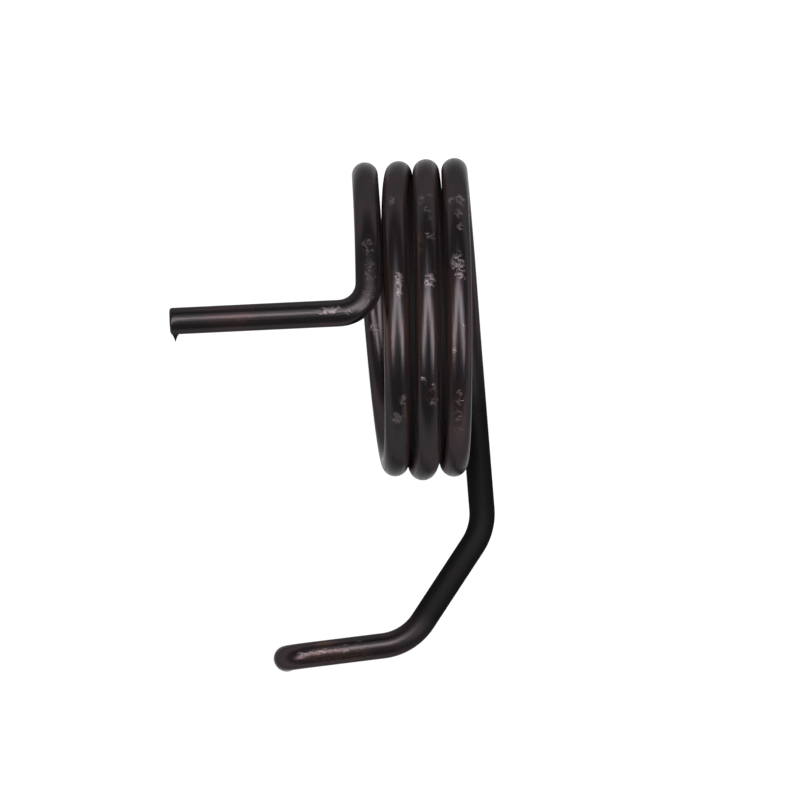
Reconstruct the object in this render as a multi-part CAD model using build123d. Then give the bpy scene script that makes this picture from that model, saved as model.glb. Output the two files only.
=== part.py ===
from build123d import *
import os
from math import atan2, cos, pi, radians, sin

# Torsion spring bent from one length of round spring wire.
# Frame: the coil's axis is X, +Z is up, and the origin is on the axis, midway along the coil.
# The spring lies on the back of its coil and on the tip of its hook, both at the lowest Z.
# Lengths are in millimetres and angles in degrees.

# Wire and coil
WIRE_D = 3.0            # round wire
INNER_D = 30.5          # clear bore inside the coil
COIL_GAP = 0.44         # clear gap between neighbouring turns, where they keep their pitch
TURNS = 3.5             # left-hand turns from the axial leg's bend to the arm
START_ANGLE = 14.0      # where the coil starts, turned from straight up (+Z) towards +Y

# How the wound turns have set. Each set is greatest at its angle and dies away over its reach.
TOUCH_GAP = 0.04        # what is left of the gap where a turn leans right over on its neighbour
LEANS = (               # angle, reach, and the lean along the axis as a share of the free gap
    (15, 90, 0.8),      # the first turn's start leans on the second turn
    (135, 135, -1.1),   # past its top the first turn stands off
    (285, 90, 0.4),     # its foot leans back in
    (405, 45, -0.5),    # the second turn steps across at its top
    (495, 105, 0.6),    # lies further on behind it
    (615, 45, -0.5),    # and steps back across just before its foot
    (660, 30, 0.4),
    (795, 75, -0.4),    # the third turn's top leans on the second
    (885, 75, 0.4),     # and lies further on behind it
    (1170, 90, -0.8),   # the last turn's top leans on the third
)
BULGES = (              # angle, reach, and the bulge away from the axis in mm
    (285, 150, -0.3),   # the first turn's foot is pulled in
    (645, 105, 0.3),    # the second turn's foot bulges out
    (810, 90, 0.1),     # and so do the last two tops
    (1170, 90, 0.1),
)

# Axial leg, which runs towards -X from the coil's start
AXIAL_BEND_R = 3.5      # radius of the bend, on the wire's centre line
AXIAL_RUN = 18.9        # straight length, from the bend to the cut end
AXIAL_LEAN = 0.5        # how far the leg leans from the axis towards -Y

# Arm, which leaves the coil's back on a tangent, slants across level and ends in a hook
ARM_RUN = 18.9          # straight length from the coil to the first bend
ARM_BEND_R = 6.5        # radius of the arm's two wide bends, on the centre line
SLANT_ANGLE = 35.5      # the slanting run, turned from square to the axis towards -X
SLANT_RUN = 10.6
FOOT_ANGLE = 85.2       # the foot, turned from square to the axis towards -X
FOOT_RUN = 8.3
HOOK_BEND_R = 3.2
HOOK_RUN = 3.9          # straight length of the hook, down to its cut end
HOOK_LEAN = 4.0         # how far the hook leans outwards from straight down

# Cut ends
EDGE_BREAK = 0.2        # worn edge of each cut end
BURR_LENGTH = 0.8       # spur that the shear left on the axial leg's end, proud of the wire
BURR_WIDTH = 0.85       # across the spur's root
BURR_ROOT = 0.15        # how deep the root sits in the wire
BURR_TIP_R = 0.04

PATH_POINTS_PER_TURN = 24

MEAN_R = (INNER_D + WIRE_D) / 2
PITCH = WIRE_D + COIL_GAP
FREE_GAP = COIL_GAP - TOUCH_GAP
END_ANGLE = START_ANGLE + 360 * TURNS
MID_ANGLE = (START_ANGLE + END_ANGLE) / 2


def swell(angle, centre, reach):
    """Rises smoothly from 0 to 1 at centre, and back to 0 at reach to either side."""
    part = min(abs(angle - centre) / reach, 1)
    return cos(part * pi / 2) ** 2


def coil_point(angle):
    """The wire's centre on the coil, at an angle wound from straight up towards +Y."""
    along = PITCH * (angle - MID_ANGLE) / 360
    along += FREE_GAP * sum(share * swell(angle, centre, reach) for centre, reach, share in LEANS)
    radius = MEAN_R + sum(out * swell(angle, centre, reach) for centre, reach, out in BULGES)
    return Vector(along, radius * sin(radians(angle)), radius * cos(radians(angle)))


def coil_heading(angle):
    step = 0.01
    return (coil_point(angle + step) - coil_point(angle - step)).normalized()


def coil_path():
    count = max(round(TURNS * PATH_POINTS_PER_TURN), 8)
    angles = [START_ANGLE + (END_ANGLE - START_ANGLE) * i / count for i in range(count + 1)]
    return Edge.make_spline(
        [coil_point(angle) for angle in angles],
        tangents=[coil_heading(START_ANGLE), coil_heading(END_ANGLE)],
        scale=False,
    )


def bend(start, heading, new_heading, radius):
    """An arc that leaves start along heading and ends along new_heading."""
    across = (new_heading - heading * heading.dot(new_heading)).normalized()
    turn = atan2(across.dot(new_heading), heading.dot(new_heading))

    def at(angle):
        return start + across * radius * (1 - cos(angle)) + heading * radius * sin(angle)

    return Edge.make_three_point_arc(start, at(turn / 2), at(turn))


def level_heading(angle):
    """A level heading, turned by angle from square to the axis towards -X."""
    return Vector(-sin(radians(angle)), -cos(radians(angle)), 0)


def wire_path():
    """The wire's centre line, from the axial leg's cut end to the hook's."""
    coil = coil_path()
    back = coil_heading(START_ANGLE) * -1
    leg_heading = level_heading(90 - AXIAL_LEAN)
    axial_bend = bend(coil @ 0, back, leg_heading, AXIAL_BEND_R)
    axial_end = (axial_bend @ 1) + leg_heading * AXIAL_RUN
    edges = [
        Edge.make_line(axial_end, axial_bend @ 1),
        bend(axial_bend @ 1, leg_heading * -1, back * -1, AXIAL_BEND_R),
        coil,
    ]
    place, heading = coil @ 1, coil_heading(END_ANGLE)
    hook_heading = Vector(0, -sin(radians(HOOK_LEAN)), -cos(radians(HOOK_LEAN)))
    for run, next_heading, radius in (
        (ARM_RUN, level_heading(SLANT_ANGLE), ARM_BEND_R),
        (SLANT_RUN, level_heading(FOOT_ANGLE), ARM_BEND_R),
        (FOOT_RUN, hook_heading, HOOK_BEND_R),
    ):
        corner = place + heading * run
        edges += [Edge.make_line(place, corner), bend(corner, heading, next_heading, radius)]
        place, heading = edges[-1] @ 1, next_heading
    edges.append(Edge.make_line(place, place + heading * HOOK_RUN))
    return Wire(edges)


def bare_wire(path):
    section = Plane(origin=path @ 0, z_dir=path % 0)
    wire = sweep(Face(Wire.make_circle(WIRE_D / 2, section)), path=path).solid()
    cut_ends = [
        edge for edge in wire.edges().filter_by(GeomType.CIRCLE)
        if min((edge.arc_center - path @ 0).length, (edge.arc_center - path @ 1).length) < 0.01
    ]
    return wire.chamfer(EDGE_BREAK, None, cut_ends)


def burr(path):
    """The sheared spur, which points to -Y just inside the axial leg's cut end."""
    inwards = path % 0
    outwards = inwards.cross(Vector(0, 0, 1)).normalized()
    root = path @ 0 + inwards * (EDGE_BREAK + BURR_WIDTH) / 2 + outwards * (WIRE_D / 2 - BURR_ROOT)
    spur = Cone(
        BURR_WIDTH / 2, BURR_TIP_R, BURR_LENGTH + BURR_ROOT,
        align=(Align.CENTER, Align.CENTER, Align.MIN),
    )
    return Plane(origin=root, z_dir=outwards) * spur


def torsion_spring():
    path = wire_path()
    return (bare_wire(path) + burr(path)).solid()


if __name__ == "__main__":
    os.makedirs("parts", exist_ok=True)
    spring = torsion_spring()
    export_step(spring, "parts/torsion_spring.step")
    print("torsion_spring volume", round(spring.volume, 1), "mm3, wire length",
          round(wire_path().length, 1), "mm")
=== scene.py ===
# %% [markdown]
# # A torsion spring, bent from one length of spring wire
#
# The real spring starts as a straight length of dark, oil-tempered steel wire. A coiling machine
# shears it off, winds it round an arbor and bends its two legs. This script goes the same way:
# it shapes a straight wire, draws the line that the wire's centre follows, and bends the wire
# along that line. What the shear and the bench did to the wire is then there from the start, and
# every scratch runs along the wire as it does on the real one.

from math import atan2, cos, hypot, pi, radians, sin, tan

import bmesh
import bpy
from mathutils import Matrix, Vector, bvhtree


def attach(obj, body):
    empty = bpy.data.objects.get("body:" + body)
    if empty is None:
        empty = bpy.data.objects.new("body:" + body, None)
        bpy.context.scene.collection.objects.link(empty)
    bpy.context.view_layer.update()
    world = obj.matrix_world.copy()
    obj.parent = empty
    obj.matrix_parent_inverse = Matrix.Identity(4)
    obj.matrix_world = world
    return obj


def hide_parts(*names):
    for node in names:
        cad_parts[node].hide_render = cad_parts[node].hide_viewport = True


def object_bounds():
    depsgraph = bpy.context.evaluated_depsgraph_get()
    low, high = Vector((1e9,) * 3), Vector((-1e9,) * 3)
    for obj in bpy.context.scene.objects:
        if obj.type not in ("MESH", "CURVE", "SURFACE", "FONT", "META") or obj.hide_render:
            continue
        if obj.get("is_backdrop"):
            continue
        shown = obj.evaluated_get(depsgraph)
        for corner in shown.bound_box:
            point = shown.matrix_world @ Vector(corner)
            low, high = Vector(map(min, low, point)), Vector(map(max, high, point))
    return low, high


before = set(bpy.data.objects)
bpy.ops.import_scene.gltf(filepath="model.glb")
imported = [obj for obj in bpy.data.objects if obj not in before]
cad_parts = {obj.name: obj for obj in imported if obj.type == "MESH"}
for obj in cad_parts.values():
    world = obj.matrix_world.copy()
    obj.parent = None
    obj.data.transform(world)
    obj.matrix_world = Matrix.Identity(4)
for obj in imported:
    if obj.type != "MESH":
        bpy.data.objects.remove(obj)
cad_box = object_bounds()
print("the packed spring reaches from", *[[round(1000 * c, 2) for c in corner] for corner in cad_box])

# %% [markdown]
# ## Sizes
#
# The numbers below are millimetres and degrees, as a spring maker writes them on a drawing.
# The coil's axis is X, +Z is up, and the origin is on the axis, midway along the coil. Blender
# works in metres here, so lengths are multiplied by MM at the moment they go into it.

# %% Sizes of the spring
MM = 0.001
WIRE_D = 3.0
WIRE_R = WIRE_D / 2
INNER_D = 30.5
COIL_GAP = 0.44
TURNS = 3.5
START_ANGLE = 14.0
TOUCH_GAP = 0.04
LEANS = (  # angle, reach, and the lean along the axis as a share of the free gap
    (15, 90, 0.8), (135, 135, -1.1), (285, 90, 0.4), (405, 45, -0.5), (495, 105, 0.6),
    (615, 45, -0.5), (660, 30, 0.4), (795, 75, -0.4), (885, 75, 0.4), (1170, 90, -0.8),
)
BULGES = (  # angle, reach, and the bulge away from the axis
    (285, 150, -0.3), (645, 105, 0.3), (810, 90, 0.1), (1170, 90, 0.1),
)
AXIAL_BEND_R, AXIAL_RUN, AXIAL_LEAN = 3.5, 18.9, 0.5
ARM_BEND_R, ARM_RUN = 6.5, 18.9
SLANT_ANGLE, SLANT_RUN = 35.5, 10.6
FOOT_ANGLE, FOOT_RUN = 85.2, 8.3
HOOK_BEND_R, HOOK_RUN, HOOK_LEAN = 3.2, 3.9, 4.0

MEAN_R = (INNER_D + WIRE_D) / 2
PITCH = WIRE_D + COIL_GAP
FREE_GAP = COIL_GAP - TOUCH_GAP
END_ANGLE = START_ANGLE + 360 * TURNS
MID_ANGLE = (START_ANGLE + END_ANGLE) / 2
print("the coil is", INNER_D + 2 * WIRE_D, "mm across outside, wound at a pitch of", PITCH, "mm")

# %% [markdown]
# ## The line that the wire follows
#
# A coil is a formula: the further the wire is wound, the further it has gone round and along.
# The real coil isn't perfect. Some turns lean on their neighbours, the first one stands off past
# its top, and a foot or two is pulled in or bulges out. Each of those is a smooth swell in the
# formula, one that rises and dies away again, because spring wire never kinks inside a coil.


# %% The coil's centre line as a formula
def swell(angle, centre, reach):
    """Rises smoothly from 0 to 1 at centre, and back to 0 at reach to either side."""
    part = min(abs(angle - centre) / reach, 1)
    return cos(part * pi / 2) ** 2


def coil_point(angle):
    """The wire's centre, in mm, at an angle wound from straight up towards +Y."""
    along = PITCH * (angle - MID_ANGLE) / 360
    along += FREE_GAP * sum(share * swell(angle, centre, reach) for centre, reach, share in LEANS)
    radius = MEAN_R + sum(out * swell(angle, centre, reach) for centre, reach, out in BULGES)
    return Vector((along, radius * sin(radians(angle)), radius * cos(radians(angle))))


def coil_rate(angle):
    """How far, and which way, the centre moves in one degree of winding."""
    step = 0.01
    return (coil_point(angle + step) - coil_point(angle - step)) / (2 * step)


print("the coil starts at", coil_point(START_ANGLE), "and ends at", coil_point(END_ANGLE))

# %% [markdown]
# A Bezier curve can hold such a line exactly enough: each of its knots has a place and a handle
# to either side, and the handles say which way the line runs and how fast. A straight run has
# handles a third of its length. A bend of radius r through an angle a has handles of
# 4/3 tan(a/4) r, which is the usual way to draw an arc with one Bezier span. The coil gets a knot
# every 15 degrees, with handles read from the formula.

# %% Draw the line knot by knot
KNOTS_PER_TURN = 24
COIL_KNOTS = round(TURNS * KNOTS_PER_TURN)
knots = []


def lay_knot(place, heading, reach):
    knots.append({"place": place, "heading": heading, "before": reach, "after": reach})


def run_on(length):
    """Carries the line straight on."""
    last = knots[-1]
    last["after"] = length / 3
    lay_knot(last["place"] + last["heading"] * length, last["heading"], length / 3)


def bent(place, heading, new_heading, radius):
    """Where a bend from one heading to another ends, and how long its handles are."""
    across = (new_heading - heading * heading.dot(new_heading)).normalized()
    turn = atan2(across.dot(new_heading), heading.dot(new_heading))
    end = place + across * radius * (1 - cos(turn)) + heading * radius * sin(turn)
    return end, 4 / 3 * tan(turn / 4) * radius


def bend_on(new_heading, radius):
    """Carries the line round a bend."""
    last = knots[-1]
    end, reach = bent(last["place"], last["heading"], new_heading, radius)
    last["after"] = reach
    lay_knot(end, new_heading, reach)


def wind_on():
    """Carries the line round the coil."""
    step = (END_ANGLE - START_ANGLE) / COIL_KNOTS
    knots[-1]["after"] = coil_rate(START_ANGLE).length * step / 3
    for number in range(1, COIL_KNOTS + 1):
        angle = START_ANGLE + step * number
        rate = coil_rate(angle)
        lay_knot(coil_point(angle), rate.normalized(), rate.length * step / 3)


def level_heading(angle):
    """A level heading, turned from square to the axis towards -X."""
    return Vector((-sin(radians(angle)), -cos(radians(angle)), 0))


# %% The axial leg, the coil, the cranked arm and the hook
coil_start = coil_rate(START_ANGLE).normalized()
leg_heading = level_heading(90 - AXIAL_LEAN)
leg_root, _ = bent(coil_point(START_ANGLE), -coil_start, leg_heading, AXIAL_BEND_R)
cut_end = leg_root + leg_heading * AXIAL_RUN
lay_knot(cut_end, -leg_heading, 1)  # the line starts here, so the handle before it is free
run_on(AXIAL_RUN)
bend_on(coil_start, AXIAL_BEND_R)
wind_on()
run_on(ARM_RUN)
bend_on(level_heading(SLANT_ANGLE), ARM_BEND_R)
run_on(SLANT_RUN)
bend_on(level_heading(FOOT_ANGLE), ARM_BEND_R)
run_on(FOOT_RUN)
bend_on(Vector((0, -sin(radians(HOOK_LEAN)), -cos(radians(HOOK_LEAN)))), HOOK_BEND_R)
run_on(HOOK_RUN)
print(len(knots), "knots, from", knots[0]["place"], "to", knots[-1]["place"])


# %% Give the knots to a Bezier curve
SPAN_STEPS = 24  # straight steps in each span of the curve


def draw_line(name):
    curve = bpy.data.curves.new(name, "CURVE")
    curve.dimensions = "3D"
    curve.twist_mode = "MINIMUM"
    curve.resolution_u = SPAN_STEPS
    spline = curve.splines.new("BEZIER")
    spline.bezier_points.add(len(knots) - 1)
    for point, knot in zip(spline.bezier_points, knots):
        point.handle_left_type = "FREE"
        point.handle_right_type = "FREE"
        point.co = knot["place"] * MM
        point.handle_left = (knot["place"] - knot["heading"] * knot["before"]) * MM
        point.handle_right = (knot["place"] + knot["heading"] * knot["after"]) * MM
    line = bpy.data.objects.new(name, curve)
    bpy.context.scene.collection.objects.link(line)
    return line, spline.calc_length(resolution=SPAN_STEPS)


centre_line, wire_length = draw_line("wire_centre_line")
print("the wire is", round(wire_length / MM, 1), "mm long")

# %% [markdown]
# ## The straight wire
#
# The wire could be a bevelled curve, which is quick, but a bevelled curve has perfect ends and
# nowhere to put the marks of the shear. A cylinder shaped in edit mode can have both, so the
# wire is a cylinder along X, and the bending comes last.

# %% A cylinder along X, from the cut end at the origin
SIDES = 56


def deselect_all():
    for thing in bpy.context.selected_objects:
        thing.select_set(False)


deselect_all()
bpy.ops.mesh.primitive_cylinder_add(
    vertices=SIDES,
    radius=WIRE_R * MM,
    depth=wire_length,
    location=(wire_length / 2, 0, 0),
    rotation=(0, pi / 2, 0),
)
wire = bpy.context.object
wire.name = "spring_wire"
bpy.ops.object.transform_apply(location=True, rotation=True, scale=True)
print("a straight wire with", len(wire.data.polygons), "faces")


# %% Choosing in code what a hand would click on
def pick(kind, wanted):
    """Selects only the vertices, edges or faces, in edit mode, that wanted says yes to."""
    bpy.context.tool_settings.mesh_select_mode = (kind == "verts", kind == "edges", kind == "faces")
    mesh = bmesh.from_edit_mesh(wire.data)
    for group in (mesh.verts, mesh.edges, mesh.faces):
        for part in group:
            part.select = False
    chosen = [part for part in getattr(mesh, kind) if wanted(part)]
    for part in chosen:
        part.select_set(True)
    mesh.select_flush_mode()
    bmesh.update_edit_mesh(wire.data)
    return len(chosen)


def middle(part):
    """The middle of an edge or a face, in mm."""
    return sum((vert.co for vert in part.verts), Vector()) / len(part.verts) / MM


# %% [markdown]
# The shear leaves a flat cut with a worn edge, so the rim edges are picked and bevelled. Each cut
# is then one face with many corners, and such a face keeps what the finish reads only at its rim.
# So it is inset in rings, down to a point in the middle.

# %% Wear the rims of both cuts and inset the cut faces
RIM_WEAR = 0.32
CUT_RINGS = (0.25, 0.35, 0.35)  # the rings' widths, from the rim inwards
NEAR = 0.01  # nearer than this to a surface counts as on it
SQUARE_ON = 0.99  # how far along the axis a cut face's normal points
LENGTH = wire_length / MM


def on_a_rim(edge):
    ends = [vert.co.x / MM for vert in edge.verts]
    return max(ends) < NEAR or min(ends) > LENGTH - NEAR


def is_cap(face):
    return abs(face.normal.x) > SQUARE_ON and len(face.verts) > 4


bpy.ops.object.mode_set(mode="EDIT")
print(pick("edges", on_a_rim), "rim edges worn")
bpy.ops.mesh.bevel(offset=RIM_WEAR * MM, segments=4, affect="EDGES")
for width in CUT_RINGS:
    pick("faces", is_cap)
    bpy.ops.mesh.inset(thickness=width * MM)
pick("faces", is_cap)
bpy.ops.mesh.poke()
print("each cut has", len(CUT_RINGS), "rings and a point")

# %% [markdown]
# As the shear's blade leaves the wire it drags a spur of steel with it. The spur is raised from
# the wire's own skin: two cuts across the wire mark its width, the faces between them that look
# towards -Y are picked, and they are extruded and narrowed in three steps, to a tip.

# %% Raise the spur beside the cut end
SPUR_FROM, SPUR_TO = 0.12, 0.96
SPUR_HALF_ANGLE = radians(17)
SPUR_STEPS = ((0.18, 0.66), (0.26, 0.58), (0.36, 0.22))  # rise, and what is left of the width
FAR_END = 1.0  # the far end is left out of the cuts

for place in (SPUR_FROM, SPUR_TO):
    pick("faces", lambda face: middle(face).x < LENGTH - FAR_END)
    bpy.ops.mesh.bisect(plane_co=(place * MM, 0, 0), plane_no=(1, 0, 0))


def under_the_spur(face):
    place = middle(face)
    return SPUR_FROM < place.x < SPUR_TO and abs(atan2(place.z, -place.y)) < SPUR_HALF_ANGLE


print(pick("faces", under_the_spur), "faces raised into a spur")
for rise, narrowing in SPUR_STEPS:
    bpy.ops.mesh.extrude_region_move(TRANSFORM_OT_translate={"value": (0, -rise * MM, 0)})
    bpy.ops.transform.resize(value=(narrowing, 1, narrowing))

# %% [markdown]
# A straight wire bends smoothly only if it has enough rings, so the long faces are now divided
# along the wire, in two goes.

# %% Divide the wire along its length
LONG_EDGE = 1.8  # edges shorter than this are left whole
RING_CUTS = (41, 37)


def runs_along(edge):
    start, end = [vert.co / MM for vert in edge.verts]
    return abs(start.x - end.x) > LONG_EDGE and abs(start.yz.length - WIRE_R) < NEAR


for cuts in RING_CUTS:
    pick("edges", runs_along)
    bpy.ops.mesh.subdivide(number_cuts=cuts)
bpy.ops.object.mode_set(mode="OBJECT")
print("the wire now has", len(wire.data.polygons), "faces")

# %% [markdown]
# ## What the wire remembers
#
# Once the wire is bent, its finish still has to run along it. So each point keeps its place on
# the straight wire as an attribute, and the finish reads that. The wire is also unrolled into a
# UV map: seven strips that lie side by side in a square, with the two cut faces beside them.

# %% Keep each point's place on the straight wire
straight = wire.data.attributes.new("straight", "FLOAT_VECTOR", "POINT")
straight.data.foreach_set("vector", [c for vert in wire.data.vertices for c in vert.co])
print("kept", len(straight.data), "places")

# %% Unroll the wire into strips
STRIPS = 7
STRIP_FROM, STRIP_WIDE = 0.005, 0.955  # where a strip starts on the map, and how far it reaches
STRIP_GAP = 0.06  # share of a strip's breadth that is left free beside it
CAP_FROM, CAP_LOW, CAP_APART = 0.982, 0.1, 0.2  # where the two cuts lie on the map
CAP_SCALE = 0.004  # how much of the map a millimetre of a cut takes
END_ON = 0.9  # a face whose normal points this far along the wire belongs to a cut


def strip_place(vert, face):
    """Where a corner of a face lies on the map, with the strips 0 to 1 each way."""
    centre = face.center / MM
    strip = min(int(centre.x / LENGTH * STRIPS), STRIPS - 1)
    turn = atan2(vert.co.z, vert.co.y) / (2 * pi)
    turn += round(atan2(centre.z, centre.y) / (2 * pi) - turn)
    across = 0.5 + (turn % 1 if abs(turn) > 1 else turn) * (1 - STRIP_GAP)
    along = vert.co.x / MM / LENGTH * STRIPS - strip
    return along * STRIP_WIDE + STRIP_FROM, (strip + across) / STRIPS


def cap_place(vert, end):
    across = vert.co.y / MM * CAP_SCALE
    up = vert.co.z / MM * CAP_SCALE
    return CAP_FROM + across, CAP_LOW + CAP_APART * end + up


def unroll():
    layer = wire.data.uv_layers.new(name="OFBake")
    for face in wire.data.polygons:
        for corner, number in zip(face.loop_indices, face.vertices):
            vert = wire.data.vertices[number]
            if abs(face.normal.x) > END_ON:
                layer.data[corner].uv = cap_place(vert, face.center.x > LENGTH / 2 * MM)
            else:
                layer.data[corner].uv = strip_place(vert, face)


unroll()
print("unrolled into", STRIPS, "strips of", round(LENGTH / STRIPS, 1), "mm")

# %% [markdown]
# ## Bending
#
# The Curve modifier carries every point of the wire to the same distance along the line, and
# keeps its place in the section. With minimum twist the section doesn't turn on its way, so the
# lines that the drawing die left stay straight along the wire.

# %% Bend the wire
SMOOTH_ANGLE = 35.0
deselect_all()
wire.select_set(True)
bpy.context.view_layer.objects.active = wire
bending = wire.modifiers.new("bending", "CURVE")
bending.object = centre_line
bending.deform_axis = "POS_X"
bpy.ops.object.modifier_apply(modifier="bending")
bpy.data.objects.remove(centre_line)
bpy.ops.object.shade_smooth_by_angle(angle=radians(SMOOTH_ANGLE))
print("bent, the wire reaches from", *[[round(c / MM, 2) for c in corner] for corner in (
    map(min, zip(*[vert.co for vert in wire.data.vertices])),
    map(max, zip(*[vert.co for vert in wire.data.vertices])),
)])


# %% [markdown]
# ## What handling has done to the wire, and where shade is painted on
#
# Where nothing can reach, between the turns, the wire has browned and roughened, because damp
# stays there. A painter would pick those faces by hand. Here rays are sent out from each point,
# around the way that it faces, and the share of them that soon meets the wire again says how
# sheltered the point is, so the brown follows the gaps as uneven as they are. The most sheltered
# points are painted darker again, as painted shade deep in the gaps.

# %% Measure how sheltered each point is
SHELTER_REACH = 4.0  # how near the wire has to be to shelter a point
SHELTER_START = 0.05  # a ray starts just off the skin, or it would meet its own face
SHELTER_LEAN = 0.9  # how far the rays lean out from the way that the point faces
SHELTER_RAYS = 8
skin = bvhtree.BVHTree.FromObject(wire, bpy.context.evaluated_depsgraph_get())


def shelter_at(vert):
    """The share of the rays that leave a point of the wire and meet the wire again."""
    aside = vert.normal.orthogonal().normalized()
    across = vert.normal.cross(aside)
    met = 0
    for ray in range(SHELTER_RAYS):
        turn = 2 * pi * ray / SHELTER_RAYS
        way = (vert.normal + (aside * cos(turn) + across * sin(turn)) * SHELTER_LEAN).normalized()
        start = vert.co + vert.normal * SHELTER_START * MM
        met += skin.ray_cast(start, way, SHELTER_REACH * MM)[0] is not None
    return met / SHELTER_RAYS


def keep_on_wire(name, values):
    """Stores a value for each point under a name that the finish can read."""
    layer = wire.data.attributes.new(name, "FLOAT", "POINT")
    layer.data.foreach_set("value", values)


shelter = [shelter_at(vert) for vert in wire.data.vertices]
keep_on_wire("shelter", shelter)
print("shelter is", round(sum(shelter) / len(shelter), 3), "on average")

# %% [markdown]
# The inner side of the closed turns and the arm with its slant are rougher, and painted darker:
# painted shade inside the coil, and on the arm a painted shade that keeps the lamps' sheen off it.
# The tight bend gets half of it. Each could be a material of its own, but then an edge would show
# where it meets the rest of the wire. Kept as a share from 0 to 1, it fades into it.

# %% The inner side of the closed turns, painted darker as painted shade
CLOSED_FROM, CLOSED_TO = -3.4, 4.4  # where the turns lie side by side, along the axis
INNER_FADE = 0.5  # how far outside the centre line the dull scale reaches
FADE_LENGTH = 1.0


def fade_in(value, start, length):
    """0 up to start, and then rising to 1 over a length."""
    return min(max((value - start) / length, 0), 1)


def innerness(place):
    """1 where a closed turn faces the coil's axis, and 0 on its outer side."""
    along, radius = place.x / MM, place.yz.length / MM
    closed = fade_in(along, CLOSED_FROM, FADE_LENGTH) * fade_in(-along, -CLOSED_TO, FADE_LENGTH)
    return fade_in(MEAN_R - radius, -INNER_FADE, FADE_LENGTH) * closed


inner_shade = [innerness(vert.co) for vert in wire.data.vertices]
keep_on_wire("inner_shade", inner_shade)
print("the inner side holds", sum(value > 0.5 for value in inner_shade), "points")

# %% The arm with its slant, and the tight bend: painted shade and roughness
DULL_FROM, DULL_TO = LENGTH - 60, LENGTH - 18  # places counted back from the hook's end
DULL_FADE_IN, DULL_FADE_OUT = 10.0, 6.0
HALF_FROM, HALF_TO, HALF_FADE = 20.5, 30.0, 2.5  # the tight bend, counted from the cut end
HALF_DULL = 0.45


def dull_and_shade_at(along):
    """How much painted shade and roughness the wire gets at a place along it."""
    arm = fade_in(along, DULL_FROM, DULL_FADE_IN) * fade_in(-along, -DULL_TO, DULL_FADE_OUT)
    bend = fade_in(along, HALF_FROM, HALF_FADE) * fade_in(-along, -HALF_TO, HALF_FADE)
    return max(arm, HALF_DULL * bend)


places = [entry.vector.copy() for entry in wire.data.attributes["straight"].data]
# the share of painted shade and roughness along the arm, the slant and the tight bend
keep_on_wire("dull_and_shade", [dull_and_shade_at(place.x / MM) for place in places])
print("dull from", round(DULL_FROM), "to", round(DULL_TO), "mm along the wire")

# %% [markdown]
# The wire's top side has been knocked and rubbed: pale flakes of scale in loops and crumbs, a
# bright scratch beside the bend, a few rusty freckles, and long brown stains down the flanks of
# the turns. Each mark is a place seen from straight above, a size along and across the wire, and
# how strong it is.
# Whatever lies uppermost there is marked, and the mark is measured on the straight wire, so that
# it lies round the wire as a real one does.

# %% Where the marks are
FLAKES = (  # x and y from above, length along the wire, width across it, how worn
    (-5.6, 8.2, 2.2, 1.9, 0.52), (-5.5, 6.3, 1.5, 1.6, 0.38), (-5.3, 4.9, 2.0, 2.0, 0.40),
    (-5.9, 2.6, 2.2, 2.4, 0.36), (-6.9, 2.0, 1.6, 1.2, 0.26),
    (-10.5, 1.0, 2.6, 0.9, 1.00), (-9.3, 1.3, 0.9, 0.9, 0.90), (-8.1, 0.7, 1.1, 0.8, 0.50),
    (-2.8, 13.2, 1.6, 0.9, 0.60), (-2.4, 4.2, 2.2, 1.2, 0.80), (-2.3, 2.8, 0.9, 0.8, 1.00),
    (-2.3, -9.2, 1.4, 1.2, 0.80), (-3.2, -11.1, 1.6, 1.4, 0.85),
    (0.5, 13.3, 1.8, 0.9, 0.55), (1.6, 13.8, 1.2, 0.9, 0.45), (1.2, 12.1, 0.8, 0.8, 0.85),
    (1.3, 11.1, 0.8, 0.8, 0.60), (1.4, 9.1, 0.8, 1.8, 0.80), (1.3, 4.3, 1.8, 1.5, 0.80),
    (0.8, 3.6, 0.9, 0.8, 1.00), (-0.1, -7.2, 0.9, 0.8, 0.90), (1.0, -8.0, 1.0, 0.9, 0.65),
    (1.1, -9.6, 0.7, 1.4, 0.85),
    (3.9, 13.1, 1.0, 0.9, 0.85), (5.0, 13.0, 1.6, 1.3, 0.90), (4.7, 11.4, 1.4, 0.9, 0.75),
    (4.8, 10.1, 1.1, 0.9, 0.80), (4.3, 5.9, 2.6, 1.9, 0.80), (4.7, 4.6, 1.6, 1.2, 0.85),
    (4.7, -1.1, 0.7, 0.6, 1.00), (3.5, -3.9, 0.9, 0.7, 0.90), (3.9, -8.7, 0.7, 0.7, 0.85),
    (4.1, -9.7, 0.9, 1.0, 0.80), (3.7, -11.3, 1.6, 1.0, 0.70), (4.0, -12.8, 0.7, 0.7, 0.80),
    (-5.2, -0.6, 1.6, 1.3, 0.60), (-14.8, -38.3, 1.2, 0.9, 0.60), (-12.8, -38.1, 2.6, 1.0, 0.38),
    (-10.2, -37.9, 2.8, 1.3, 0.40), (-8.2, -37.4, 1.6, 1.6, 0.38), (-0.1, -32.7, 0.8, 0.9, 0.50),
)
FRECKLES = (  # the same, for rust
    (0.2, 8.6, 1.6, 1.0, 0.8), (0.3, 7.6, 1.3, 1.0, 0.7), (-2.0, -10.2, 2.6, 1.5, 0.7),
    (0.9, -8.9, 3.0, 1.8, 0.6), (3.9, -10.4, 5.0, 1.6, 0.8), (3.6, -12.6, 3.0, 1.0, 0.6),
    (-12.0, -38.8, 5.0, 1.6, 0.8), (-9.0, -38.8, 5.0, 1.6, 0.6), (4.7, -28.4, 1.6, 1.2, 0.6),
    (6.7, -22.4, 1.6, 1.2, 0.6), (2.0, 5.0, 4.0, 1.2, 0.5), (-20.0, 0.3, 9.0, 1.2, 0.4),
    (-12.3, -37.4, 2.0, 1.0, 0.8),
)
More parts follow.
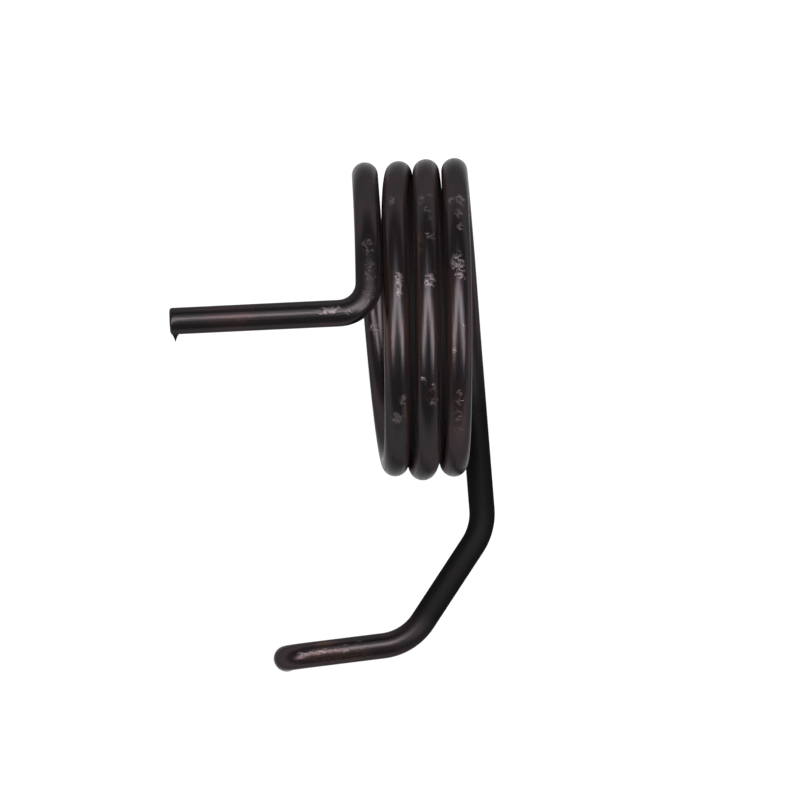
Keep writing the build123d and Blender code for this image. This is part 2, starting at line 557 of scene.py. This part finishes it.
STAINS = (  # the same, for the brown of the flanks
    (-3.75, 1.0, 14.0, 1.1, 0.80), (-1.65, 0.5, 12.0, 0.9, 0.65), (-0.3, 1.0, 14.0, 0.9, 0.85),
    (1.8, -1.0, 10.0, 0.9, 0.70), (3.1, -1.0, 12.0, 0.9, 0.85), (5.3, -2.0, 9.0, 0.8, 0.45),
    (-1.6, -11.0, 5.0, 1.2, 0.5), (1.9, -9.5, 5.0, 1.2, 0.5), (4.0, -11.0, 7.0, 1.2, 0.4),
    (-11.0, -38.9, 9.0, 1.4, 0.3), (-12.3, -37.4, 2.2, 1.1, 0.8),
)
print(len(FLAKES), "flakes,", len(FRECKLES), "freckles and", len(STAINS), "stains")

# %% Mark the wire
MARK_FADE = 1.5  # how far past its size a mark fades out
MARK_CORE = 1.8  # above 1, a mark has a full middle and not only a peak
ABOVE = 100.0  # the height from which a mark's place is looked for


def around(place):
    """How far round the straight wire a point lies, in radians."""
    return atan2(place.z, place.y)


def marked(marks):
    """How worn each point is, from the marks that reach it."""
    worn = [0.0] * len(places)
    for x, y, length, width, depth in marks:
        found, place, _, face = wire.ray_cast(Vector((x, y, ABOVE)) * MM, Vector((0, 0, -1)))
        if not found:
            print("no wire lies under a mark at", x, y)
            continue
        corners = wire.data.polygons[face].vertices
        centre = places[min(corners, key=lambda c: (wire.data.vertices[c].co - place).length)]
        for number, here in enumerate(places):
            along = 2 * (here.x - centre.x) / MM / length / MARK_FADE
            if abs(along) < 1:
                turn = (around(here) - around(centre) + pi) % (2 * pi) - pi
                across = 2 * turn * WIRE_R / width / MARK_FADE
                share = cos(min(hypot(along, across), 1) * pi / 2) ** 2
                worn[number] = max(worn[number], depth * min(share * MARK_CORE, 1))
    return worn


for name, marks in (("flaked", FLAKES), ("freckled", FRECKLES), ("stained", STAINS)):
    worn = marked(marks)
    keep_on_wire(name, worn)
    print(name, "at", sum(value > 0.3 for value in worn), "points")

# %% [markdown]
# ## Finish
#
# Oil-tempered wire is black oxide over steel, with a brown and mauve cast. It mirrors its
# surroundings softly, as a dark metal does, and the drawing lines roughen it in fine streaks along
# the wire. The flakes are paler and rougher, with broken edges. The sheltered places are rougher,
# and painted shade darkens the deepest of them.

# %% Helpers for building a material
def add_node(tree, kind, inputs=(), **settings):
    """A node with its settings, whose sockets hold values or are linked to other sockets."""
    node = tree.nodes.new(kind)
    for name, value in settings.items():
        setattr(node, name, value)
    for socket, value in dict(inputs).items():
        if isinstance(value, bpy.types.NodeSocket):
            tree.links.new(value, node.inputs[socket])
        else:
            node.inputs[socket].default_value = value
    return node


def spread(tree, value, low, high, to_low=0.0, to_high=1.0, smooth=True):
    """Turns low to high into to_low to to_high, and holds it beyond them."""
    node = add_node(
        tree, "ShaderNodeMapRange",
        {"Value": value, "From Min": low, "From Max": high, "To Min": to_low, "To Max": to_high},
        interpolation_type="SMOOTHSTEP" if smooth else "LINEAR",
    )
    return node.outputs["Result"]


def noise(tree, place, scale, detail=3.0, rough=0.5):
    node = add_node(
        tree, "ShaderNodeTexNoise",
        {"Vector": place, "Scale": scale, "Detail": detail, "Roughness": rough},
    )
    return node.outputs["Fac"]


def stretch(tree, place, scale):
    node = add_node(tree, "ShaderNodeVectorMath", {0: place, 1: scale}, operation="MULTIPLY")
    return node.outputs["Vector"]


def sum_up(tree, first, second, share=1.0):
    """first + second * share"""
    node = add_node(
        tree, "ShaderNodeMath", {0: second, 1: share, 2: first}, operation="MULTIPLY_ADD",
    )
    return node.outputs[0]


def times(tree, first, second):
    return sum_up(tree, 0.0, first, second)


def blend_colour(tree, share, first, second):
    """first where share is 0, and second where it is 1."""
    node = add_node(tree, "ShaderNodeMix", {"Factor": share}, data_type="RGBA")
    for socket, value in ((6, first), (7, second)):  # the mix node's two colours
        if isinstance(value, bpy.types.NodeSocket):
            tree.links.new(value, node.inputs[socket])
        else:
            node.inputs[socket].default_value = (*value, 1)
    return node.outputs[2]


def kept(tree, name, output="Fac"):
    """What the wire remembers under a name."""
    return add_node(tree, "ShaderNodeAttribute", attribute_name=name).outputs[output]


# %% Colours of the wire
OXIDE_BLACK = (0.0315, 0.0282, 0.0302)
OXIDE_BROWN = (0.0405, 0.0300, 0.0330)
DAMP_BROWN = (0.0900, 0.0560, 0.0540)
STAIN_BROWN = (0.0800, 0.0480, 0.0470)
# painted shade: the darkest tone, for the deepest gaps and the inner side of the closed turns
PAINTED_SHADE_DARK = (0.0120, 0.0108, 0.0110)
# painted shade, with roughness, for the arm, the slant and half of the tight bend
DULL_SHADE_GREY = (0.0100, 0.0092, 0.0095)
FLAKE_MAUVE = (0.1200, 0.0990, 0.1060)
RUST_BROWN = (0.0720, 0.0440, 0.0380)
EDGE_TINT = (0.49, 0.49, 0.49, 1)  # oxide mirrors less at a grazing look than bare steel does

# %% [markdown]
# Flakes and freckles have broken edges, because scale comes off in loops with crumbs beside them.
# Painted dots would look like paint. Here two noises break them up: one is folded back on itself,
# so that it is highest along closed lines, and a finer one gives the crumbs. A mark shows where
# its place on the wire and this pattern meet.


# %% Broken scale
LOOP_SCALE, LOOP_SHARE = 1300, 0.8
CRUMB_SCALE, CRUMB_SHARE = 2500, 0.65
LOOP_EDGE, CRUMB_EDGE = (0.38, 0.50), (0.43, 0.66)  # from where none shows to where all does
PATCH_SCALE, PATCH_EDGE = 170, (0.42, 0.66)
# the second pair is the shelter at which the deepest gaps get painted shade
DAMP_EDGE, GAP_SHADE_EDGE = (0.0, 0.6), (0.35, 0.75)
RUST_EDGE, FLAKE_EDGE = (0.10, 0.70), (0.12, 0.85)


def broken_scale(tree, solid):
    """High in loops and crumbs, and 0 between them."""
    folded = add_node(
        tree, "ShaderNodeMath", {0: noise(tree, solid, LOOP_SCALE, 2.0), 1: 0.5},
        operation="PINGPONG",
    ).outputs[0]
    loops = spread(tree, folded, *LOOP_EDGE)
    crumbs = spread(tree, noise(tree, solid, CRUMB_SCALE, 3.0, 0.6), *CRUMB_EDGE)
    return sum_up(tree, times(tree, loops, LOOP_SHARE), crumbs, CRUMB_SHARE)


def share_of(tree, solid):
    """How much of each finish shows at a point, from what the wire remembers."""
    broken = broken_scale(tree, solid)
    return {
        "brown": spread(tree, noise(tree, solid, PATCH_SCALE, 4.0, 0.6), *PATCH_EDGE),
        "stained": kept(tree, "stained"),
        "damp": spread(tree, kept(tree, "shelter"), *DAMP_EDGE),
        # painted shade where the wire is most sheltered
        "gap_shade": spread(tree, kept(tree, "shelter"), *GAP_SHADE_EDGE),
        "rusty": spread(tree, times(tree, kept(tree, "freckled"), broken), *RUST_EDGE),
        "flaked": spread(tree, times(tree, kept(tree, "flaked"), broken), *FLAKE_EDGE),
        # painted shade and roughness on the arm, the slant and half the tight bend
        "dull_and_shade": kept(tree, "dull_and_shade"),
        # painted shade on the closed turns' inner side
        "inner_shade": kept(tree, "inner_shade"),
    }


# %% [markdown]
# The finish is laid on layer by layer: brown patches in the black oxide, stains, the brown of damp
# between the turns, painted shade where the gaps are deepest, rust, and flakes knocked off last. The
# painted shade of the arm and of the coil's inner side lies over all of them. The same shares make
# the wire rougher, so a flake is both paler and duller.


# %% The black oxide
LINE_STRETCH = (60, 5200, 5200)
LINE_EDGE, LINE_ROUGHNESS = (0.3, 0.7), (0.24, 0.33)
GRAIN_SCALE = 5200
GRAIN_BUMP, LINE_BUMP, FLAKE_BUMP = (0.25, 0.03), (0.25, 0.04), (0.6, 0.05)  # strength, depth
LAYERS = (
    ("brown", OXIDE_BROWN), ("stained", STAIN_BROWN), ("damp", DAMP_BROWN), ("gap_shade", PAINTED_SHADE_DARK),
    ("rusty", RUST_BROWN), ("flaked", FLAKE_MAUVE), ("dull_and_shade", DULL_SHADE_GREY), ("inner_shade", PAINTED_SHADE_DARK),
)
ROUGHER = {"flaked": 0.12, "damp": 0.28, "inner_shade": 0.40, "dull_and_shade": 0.36}


def bumps(tree, heights):
    """Lays one bump over another, each with a height, a strength and a depth in mm."""
    inputs = {}
    for height, strength, depth in heights:
        inputs |= {"Height": height, "Strength": strength, "Distance": depth * MM}
        inputs["Normal"] = add_node(tree, "ShaderNodeBump", inputs).outputs["Normal"]
    return inputs["Normal"]


def black_oxide():
    material = bpy.data.materials.new("black_oxide")
    material.use_nodes = True
    tree = material.node_tree
    tree.nodes.clear()
    solid = add_node(tree, "ShaderNodeTexCoord").outputs["Object"]
    lines = noise(tree, stretch(tree, kept(tree, "straight", "Vector"), LINE_STRETCH), 1.0, 2.0)
    grain = noise(tree, solid, GRAIN_SCALE, 2.0)
    shares = share_of(tree, solid)
    colour = OXIDE_BLACK
    for name, tone in LAYERS:
        colour = blend_colour(tree, shares[name], colour, tone)
    roughness = spread(tree, lines, *LINE_EDGE, *LINE_ROUGHNESS, smooth=False)
    for name, more in ROUGHER.items():
        roughness = sum_up(tree, roughness, shares[name], more)
    normal = bumps(tree, (
        (grain, *GRAIN_BUMP), (lines, *LINE_BUMP), (shares["flaked"], *FLAKE_BUMP),
    ))
    shader = add_node(tree, "ShaderNodeBsdfPrincipled", {
        "Base Color": colour, "Roughness": roughness, "Normal": normal,
        "Metallic": 1.0, "Specular Tint": EDGE_TINT,
    })
    add_node(tree, "ShaderNodeOutputMaterial", {"Surface": shader.outputs["BSDF"]})
    return material


wire.data.materials.clear()
wire.data.materials.append(black_oxide())
print("finish:", wire.data.materials[0].name, "in", len(LAYERS), "layers")

# %% The wire stands for the spring's one node, and rides on its one body
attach(wire, "root")
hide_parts("torsion_spring")
print("the wire replaces torsion_spring")

# %% [markdown]
# ## A table to lie on, and soft light
#
# The spring lies on a sheet of pale paper. White paper would throw so much light up at a dark
# wire that it would look grey, so the paper is darker than it looks: it is lifted only for rays
# that look at it, from the camera or by way of the wire's gloss, and it keeps the shadow.

# %% Floor
FLOOR_SIDE = 8.0  # metres
FLOOR_Z = cad_box[0].z
FLOOR_GREY = 0.15
FLOOR_LIFT = 0.88


def seen_directly(tree):
    """1 for the rays that look at a surface, and 0 for those that gather its light."""
    path = add_node(tree, "ShaderNodeLightPath")
    either = path.outputs["Is Camera Ray"]
    for name in ("Is Glossy Ray", "Is Transmission Ray"):
        either = add_node(
            tree, "ShaderNodeMath", {0: either, 1: path.outputs[name]}, operation="MAXIMUM",
        ).outputs[0]
    return either


def floor_paper():
    material = bpy.data.materials.new("floor_paper")
    material.use_nodes = True
    tree = material.node_tree
    tree.nodes.clear()
    matt = add_node(tree, "ShaderNodeBsdfDiffuse", {"Color": (FLOOR_GREY,) * 3 + (1,)})
    lift = times(tree, seen_directly(tree), FLOOR_LIFT)
    glow = add_node(tree, "ShaderNodeEmission", {"Strength": lift})
    both = add_node(tree, "ShaderNodeAddShader", {0: matt.outputs[0], 1: glow.outputs[0]})
    add_node(tree, "ShaderNodeOutputMaterial", {"Surface": both.outputs[0]})
    return material


deselect_all()
bpy.ops.mesh.primitive_plane_add(size=FLOOR_SIDE, location=(0, 0, FLOOR_Z))
floor = bpy.context.object
floor.name = "floor"
floor.data.materials.append(floor_paper())
floor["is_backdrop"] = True
print("the floor lies at", round(FLOOR_Z / MM, 2), "mm")

# %% [markdown]
# A dark gloss shows the room more than the light that falls on it. The room here is a low white
# backdrop all round, which the wire's rims mirror, under a dim ceiling, which keeps its top side
# dark. Plain area lamps overhead would give one broad highlight. The wire shows two narrow
# streaks on each turn that draw apart towards the foot, so there is a long strip lamp to the left
# and one to the right, each slanting down to its side, and a faint strip at the head.

# %% The room
BACKDROP, CEILING = 1.0, 0.3
BACKDROP_TOP, CEILING_FROM = 0.08, 0.16  # heights from 0, level, to 1, straight up


def light_room():
    world = bpy.data.worlds.new("studio")
    world.use_nodes = True
    tree = world.node_tree
    tree.nodes.clear()
    way = add_node(tree, "ShaderNodeTexCoord").outputs["Generated"]
    height = add_node(tree, "ShaderNodeSeparateXYZ", {"Vector": way}).outputs["Z"]
    level = spread(tree, height, BACKDROP_TOP, CEILING_FROM, BACKDROP, CEILING)
    sky = add_node(tree, "ShaderNodeBackground", {"Color": (1, 1, 1, 1), "Strength": level})
    add_node(tree, "ShaderNodeOutputWorld", {"Surface": sky.outputs[0]})
    bpy.context.scene.world = world


light_room()
print("a backdrop of", BACKDROP, "under a ceiling of", CEILING)

# %% Strip lamps
LIGHT_FAR = 1.2  # metres
LAMPS = (  # name, its two ends in degrees aside and ahead, breadth in degrees, radiance
    ("head_strip", (0, 48), (0, 20), 12, 1.6),
    ("left_strip", (-3, 21), (-46, -20), 17, 8.5),
    ("right_strip", (3, 21), (52, -24), 17, 8.5),
)


def direction(aside, ahead):
    """The way to a light that stands aside towards +X and ahead towards +Y, from straight up."""
    return Vector((
        sin(radians(aside)) * cos(radians(ahead)),
        sin(radians(ahead)),
        cos(radians(aside)) * cos(radians(ahead)),
    ))


def strip_light(name, start, end, width, radiance):
    """A long narrow lamp, from one direction to another, that faces the spring."""
    start, end = direction(*start) * LIGHT_FAR, direction(*end) * LIGHT_FAR
    lamp = bpy.data.lights.new(name, "AREA")
    lamp.shape = "RECTANGLE"
    lamp.size = (end - start).length
    lamp.size_y = 2 * LIGHT_FAR * tan(radians(width) / 2)
    lamp.energy = radiance * pi * lamp.size * lamp.size_y
    middle_place = (start + end) / 2
    back = middle_place.normalized()
    long_way = (end - start).normalized()
    long_way = (long_way - back * back.dot(long_way)).normalized()
    turned = Matrix((long_way, back.cross(long_way), back)).transposed()
    thing = bpy.data.objects.new(name, lamp)
    thing.matrix_world = Matrix.Translation(middle_place) @ turned.to_4x4()
    bpy.context.scene.collection.objects.link(thing)


for lamp in LAMPS:
    strip_light(*lamp)

# %% [markdown]
# The camera looks straight down from about 60 cm, with a long lens, so the turns hardly fan out.
# It leans by half a degree and is rolled by about two, as a camera on a copy stand can be.

# %% The camera
CAMERA_PLACE = (-8.67, -9.20, 589.53)
CAMERA_LENS, CAMERA_SENSOR = 230.78, 36
CAMERA_CLIP = (0.05, 20)  # metres
CAMERA_SIDE_LEAN = 0.592
CAMERA_ROLL = 2.255


def aim_camera():
    lens = bpy.data.cameras.new("camera")
    lens.lens = CAMERA_LENS
    lens.sensor_width = CAMERA_SENSOR
    lens.clip_start, lens.clip_end = CAMERA_CLIP
    camera = bpy.data.objects.new("camera", lens)
    lean = Matrix.Rotation(radians(-CAMERA_SIDE_LEAN), 4, "Y")
    roll = Matrix.Rotation(radians(-CAMERA_ROLL), 4, "Z")
    camera.matrix_world = Matrix.Translation(Vector(CAMERA_PLACE) * MM) @ lean @ roll
    bpy.context.scene.collection.objects.link(camera)
    bpy.context.scene.camera = camera


aim_camera()
bpy.context.scene.view_settings.view_transform = "Standard"
print("the camera stands", round(CAMERA_PLACE[2] - FLOOR_Z / MM), "mm over the floor")

# %% Compare the finished wire's box with the imported spring's
visual_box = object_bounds()
grown = [round((b - a) / MM, 3) for ends in zip(cad_box, visual_box) for a, b in zip(*ends)]
print("the finished wire's box differs from the packed spring's by", grown, "mm")
